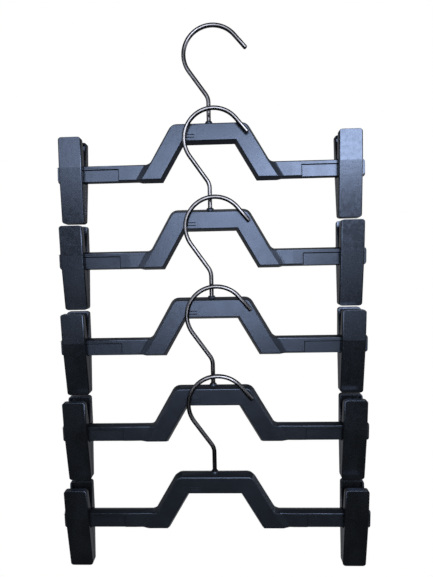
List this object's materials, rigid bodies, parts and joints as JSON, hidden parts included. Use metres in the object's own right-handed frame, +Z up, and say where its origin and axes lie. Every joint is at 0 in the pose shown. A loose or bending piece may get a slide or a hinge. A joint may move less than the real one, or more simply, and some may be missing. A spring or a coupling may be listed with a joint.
{
  "type": "clip hanger",
  "caption": "Moulded trouser hangers with a raised arch, swivelling wire hooks and sliding spring clips, hung in a ladder with each hook on the face of the hanger above.",
  "frame": {"origin": "seat of the top hook on its rail, the inside of the loop straight above the stem", "axes": "+X to the viewer's right along the bars, -Y to the front, +Z up along the top hook's stem"},
  "size_m": [0.2568, 0.0241, 0.4546],
  "materials": {
    "frame_plastic": "black moulded, satin",
    "clip_plastic": "black moulded, satin",
    "hook_chrome": "bright plated wire",
    "spring_steel": "plain strip"
  },
  "bodies": {
    "frame_1": {"frame_1": "frame_plastic"},
    "frame_2": {"frame_2": "frame_plastic"},
    "frame_3": {"frame_3": "frame_plastic"},
    "frame_4": {"frame_4": "frame_plastic"},
    "frame_5": {"frame_5": "frame_plastic"},
    "hook_1": {"hook_1": "hook_chrome"},
    "hook_2": {"hook_2": "hook_chrome"},
    "hook_3": {"hook_3": "hook_chrome"},
    "hook_4": {"hook_4": "hook_chrome"},
    "hook_5": {"hook_5": "hook_chrome"},
    "left_front_jaw_1": {"left_front_jaw_1": "clip_plastic"},
    "left_back_jaw_1": {"left_back_jaw_1": "clip_plastic"},
    "left_spring_1": {"left_spring_1": "spring_steel"},
    "right_front_jaw_1": {"right_front_jaw_1": "clip_plastic"},
    "right_back_jaw_1": {"right_back_jaw_1": "clip_plastic"},
    "right_spring_1": {"right_spring_1": "spring_steel"},
    "left_front_jaw_2": {"left_front_jaw_2": "clip_plastic"},
    "left_back_jaw_2": {"left_back_jaw_2": "clip_plastic"},
    "left_spring_2": {"left_spring_2": "spring_steel"},
    "right_front_jaw_2": {"right_front_jaw_2": "clip_plastic"},
    "right_back_jaw_2": {"right_back_jaw_2": "clip_plastic"},
    "right_spring_2": {"right_spring_2": "spring_steel"},
    "left_front_jaw_3": {"left_front_jaw_3": "clip_plastic"},
    "left_back_jaw_3": {"left_back_jaw_3": "clip_plastic"},
    "left_spring_3": {"left_spring_3": "spring_steel"},
    "right_front_jaw_3": {"right_front_jaw_3": "clip_plastic"},
    "right_back_jaw_3": {"right_back_jaw_3": "clip_plastic"},
    "right_spring_3": {"right_spring_3": "spring_steel"},
    "left_front_jaw_4": {"left_front_jaw_4": "clip_plastic"},
    "left_back_jaw_4": {"left_back_jaw_4": "clip_plastic"},
    "left_spring_4": {"left_spring_4": "spring_steel"},
    "right_front_jaw_4": {"right_front_jaw_4": "clip_plastic"},
    "right_back_jaw_4": {"right_back_jaw_4": "clip_plastic"},
    "right_spring_4": {"right_spring_4": "spring_steel"},
    "left_front_jaw_5": {"left_front_jaw_5": "clip_plastic"},
    "left_back_jaw_5": {"left_back_jaw_5": "clip_plastic"},
    "left_spring_5": {"left_spring_5": "spring_steel"},
    "right_front_jaw_5": {"right_front_jaw_5": "clip_plastic"},
    "right_back_jaw_5": {"right_back_jaw_5": "clip_plastic"},
    "right_spring_5": {"right_spring_5": "spring_steel"}
  },
  "joints": [
    {"name": "swivel_1", "type": "hinge", "parent": "hook_1", "child": "frame_1", "pos_m": [0, 0, -0.08146], "axis": [0, 0, 1], "continuous": true},
    {"name": "left_slide_1", "type": "slide", "parent": "frame_1", "child": "left_spring_1", "axis": [1, 0, 0], "range_m": [0, 0.02855]},
    {"name": "left_front_open_1", "type": "hinge", "parent": "left_spring_1", "child": "left_front_jaw_1", "pos_m": [-0.1147, 0, -0.11996], "axis": [-1, 0, 0], "range_deg": [0, 10], "stiffness_Nm_per_rad": 0.15, "springref_deg": -57.3, "deforming": ["left_spring_1"]},
    {"name": "left_back_open_1", "type": "hinge", "parent": "left_spring_1", "child": "left_back_jaw_1", "pos_m": [-0.1147, 0, -0.11996], "axis": [-1, 0, 0], "range_deg": [-10, 0], "stiffness_Nm_per_rad": 0.15, "springref_deg": 57.3},
    {"name": "right_slide_1", "type": "slide", "parent": "frame_1", "child": "right_spring_1", "axis": [-1, 0, 0], "range_m": [0, 0.02855]},
    {"name": "right_front_open_1", "type": "hinge", "parent": "right_spring_1", "child": "right_front_jaw_1", "pos_m": [0.1147, 0, -0.11996], "axis": [-1, 0, 0], "range_deg": [0, 10], "stiffness_Nm_per_rad": 0.15, "springref_deg": -57.3, "deforming": ["right_spring_1"]},
    {"name": "right_back_open_1", "type": "hinge", "parent": "right_spring_1", "child": "right_back_jaw_1", "pos_m": [0.1147, 0, -0.11996], "axis": [-1, 0, 0], "range_deg": [-10, 0], "stiffness_Nm_per_rad": 0.15, "springref_deg": 57.3},
    {"name": "lift_off_2", "type": "slide", "parent": "frame_1", "child": "hook_2", "axis": [0, -1, 0], "range_m": [0, 0.06]},
    {"name": "swivel_2", "type": "hinge", "parent": "hook_2", "child": "frame_2", "pos_m": [0, -0.003, -0.15397], "axis": [0, -0.078, 0.997], "continuous": true},
    {"name": "left_slide_2", "type": "slide", "parent": "frame_2", "child": "left_spring_2", "axis": [1, 0, 0], "range_m": [0, 0.02855]},
    {"name": "left_front_open_2", "type": "hinge", "parent": "left_spring_2", "child": "left_front_jaw_2", "pos_m": [-0.1147, 0, -0.19236], "axis": [-1, 0, 0], "range_deg": [0, 10], "stiffness_Nm_per_rad": 0.15, "springref_deg": -57.3, "deforming": ["left_spring_2"]},
    {"name": "left_back_open_2", "type": "hinge", "parent": "left_spring_2", "child": "left_back_jaw_2", "pos_m": [-0.1147, 0, -0.19236], "axis": [-1, 0, 0], "range_deg": [-10, 0], "stiffness_Nm_per_rad": 0.15, "springref_deg": 57.3},
    {"name": "right_slide_2", "type": "slide", "parent": "frame_2", "child": "right_spring_2", "axis": [-1, 0, 0], "range_m": [0, 0.02855]},
    {"name": "right_front_open_2", "type": "hinge", "parent": "right_spring_2", "child": "right_front_jaw_2", "pos_m": [0.1147, 0, -0.19236], "axis": [-1, 0, 0], "range_deg": [0, 10], "stiffness_Nm_per_rad": 0.15, "springref_deg": -57.3, "deforming": ["right_spring_2"]},
    {"name": "right_back_open_2", "type": "hinge", "parent": "right_spring_2", "child": "right_back_jaw_2", "pos_m": [0.1147, 0, -0.19236], "axis": [-1, 0, 0], "range_deg": [-10, 0], "stiffness_Nm_per_rad": 0.15, "springref_deg": 57.3},
    {"name": "lift_off_3", "type": "slide", "parent": "frame_2", "child": "hook_3", "axis": [0, -1, 0], "range_m": [0, 0.06]},
    {"name": "swivel_3", "type": "hinge", "parent": "hook_3", "child": "frame_3", "pos_m": [0, -0.00378, -0.22644], "axis": [0, -0.0981, 0.9952], "continuous": true},
    {"name": "left_slide_3", "type": "slide", "parent": "frame_3", "child": "left_spring_3", "axis": [1, 0, 0], "range_m": [0, 0.02855]},
    {"name": "left_front_open_3", "type": "hinge", "parent": "left_spring_3", "child": "left_front_jaw_3", "pos_m": [-0.1147, 0, -0.26476], "axis": [-1, 0, 0], "range_deg": [0, 10], "stiffness_Nm_per_rad": 0.15, "springref_deg": -57.3, "deforming": ["left_spring_3"]},
    {"name": "left_back_open_3", "type": "hinge", "parent": "left_spring_3", "child": "left_back_jaw_3", "pos_m": [-0.1147, 0, -0.26476], "axis": [-1, 0, 0], "range_deg": [-10, 0], "stiffness_Nm_per_rad": 0.15, "springref_deg": 57.3},
    {"name": "right_slide_3", "type": "slide", "parent": "frame_3", "child": "right_spring_3", "axis": [-1, 0, 0], "range_m": [0, 0.02855]},
    {"name": "right_front_open_3", "type": "hinge", "parent": "right_spring_3", "child": "right_front_jaw_3", "pos_m": [0.1147, 0, -0.26476], "axis": [-1, 0, 0], "range_deg": [0, 10], "stiffness_Nm_per_rad": 0.15, "springref_deg": -57.3, "deforming": ["right_spring_3"]},
    {"name": "right_back_open_3", "type": "hinge", "parent": "right_spring_3", "child": "right_back_jaw_3", "pos_m": [0.1147, 0, -0.26476], "axis": [-1, 0, 0], "range_deg": [-10, 0], "stiffness_Nm_per_rad": 0.15, "springref_deg": 57.3},
    {"name": "lift_off_4", "type": "slide", "parent": "frame_3", "child": "hook_4", "axis": [0, -1, 0], "range_m": [0, 0.06]},
    {"name": "swivel_4", "type": "hinge", "parent": "hook_4", "child": "frame_4", "pos_m": [0, -0.00397, -0.29886], "axis": [0, -0.1032, 0.9947], "continuous": true},
    {"name": "left_slide_4", "type": "slide", "parent": "frame_4", "child": "left_spring_4", "axis": [1, 0, 0], "range_m": [0, 0.02855]},
    {"name": "left_front_open_4", "type": "hinge", "parent": "left_spring_4", "child": "left_front_jaw_4", "pos_m": [-0.1147, 0, -0.33716], "axis": [-1, 0, 0], "range_deg": [0, 10], "stiffness_Nm_per_rad": 0.15, "springref_deg": -57.3, "deforming": ["left_spring_4"]},
    {"name": "left_back_open_4", "type": "hinge", "parent": "left_spring_4", "child": "left_back_jaw_4", "pos_m": [-0.1147, 0, -0.33716], "axis": [-1, 0, 0], "range_deg": [-10, 0], "stiffness_Nm_per_rad": 0.15, "springref_deg": 57.3},
    {"name": "right_slide_4", "type": "slide", "parent": "frame_4", "child": "right_spring_4", "axis": [-1, 0, 0], "range_m": [0, 0.02855]},
    {"name": "right_front_open_4", "type": "hinge", "parent": "right_spring_4", "child": "right_front_jaw_4", "pos_m": [0.1147, 0, -0.33716], "axis": [-1, 0, 0], "range_deg": [0, 10], "stiffness_Nm_per_rad": 0.15, "springref_deg": -57.3, "deforming": ["right_spring_4"]},
    {"name": "right_back_open_4", "type": "hinge", "parent": "right_spring_4", "child": "right_back_jaw_4", "pos_m": [0.1147, 0, -0.33716], "axis": [-1, 0, 0], "range_deg": [-10, 0], "stiffness_Nm_per_rad": 0.15, "springref_deg": 57.3},
    {"name": "lift_off_5", "type": "slide", "parent": "frame_4", "child": "hook_5", "axis": [0, -1, 0], "range_m": [0, 0.06]},
    {"name": "swivel_5", "type": "hinge", "parent": "hook_5", "child": "frame_5", "pos_m": [0, -0.00402, -0.37127], "axis": [0, -0.1045, 0.9945], "continuous": true},
    {"name": "left_slide_5", "type": "slide", "parent": "frame_5", "child": "left_spring_5", "axis": [1, 0, 0], "range_m": [0, 0.02855]},
    {"name": "left_front_open_5", "type": "hinge", "parent": "left_spring_5", "child": "left_front_jaw_5", "pos_m": [-0.1147, 0, -0.40956], "axis": [-1, 0, 0], "range_deg": [0, 10], "stiffness_Nm_per_rad": 0.15, "springref_deg": -57.3, "deforming": ["left_spring_5"]},
    {"name": "left_back_open_5", "type": "hinge", "parent": "left_spring_5", "child": "left_back_jaw_5", "pos_m": [-0.1147, 0, -0.40956], "axis": [-1, 0, 0], "range_deg": [-10, 0], "stiffness_Nm_per_rad": 0.15, "springref_deg": 57.3},
    {"name": "right_slide_5", "type": "slide", "parent": "frame_5", "child": "right_spring_5", "axis": [-1, 0, 0], "range_m": [0, 0.02855]},
    {"name": "right_front_open_5", "type": "hinge", "parent": "right_spring_5", "child": "right_front_jaw_5", "pos_m": [0.1147, 0, -0.40956], "axis": [-1, 0, 0], "range_deg": [0, 10], "stiffness_Nm_per_rad": 0.15, "springref_deg": -57.3, "deforming": ["right_spring_5"]},
    {"name": "right_back_open_5", "type": "hinge", "parent": "right_spring_5", "child": "right_back_jaw_5", "pos_m": [0.1147, 0, -0.40956], "axis": [-1, 0, 0], "range_deg": [-10, 0], "stiffness_Nm_per_rad": 0.15, "springref_deg": 57.3}
  ],
  "couplings": [
    {"joint": "left_back_open_1", "follows": "left_front_open_1", "ratio": -1},
    {"joint": "right_back_open_1", "follows": "right_front_open_1", "ratio": -1},
    {"joint": "left_back_open_2", "follows": "left_front_open_2", "ratio": -1},
    {"joint": "right_back_open_2", "follows": "right_front_open_2", "ratio": -1},
    {"joint": "left_back_open_3", "follows": "left_front_open_3", "ratio": -1},
    {"joint": "right_back_open_3", "follows": "right_front_open_3", "ratio": -1},
    {"joint": "left_back_open_4", "follows": "left_front_open_4", "ratio": -1},
    {"joint": "right_back_open_4", "follows": "right_front_open_4", "ratio": -1},
    {"joint": "left_back_open_5", "follows": "left_front_open_5", "ratio": -1},
    {"joint": "right_back_open_5", "follows": "right_front_open_5", "ratio": -1}
  ]
}
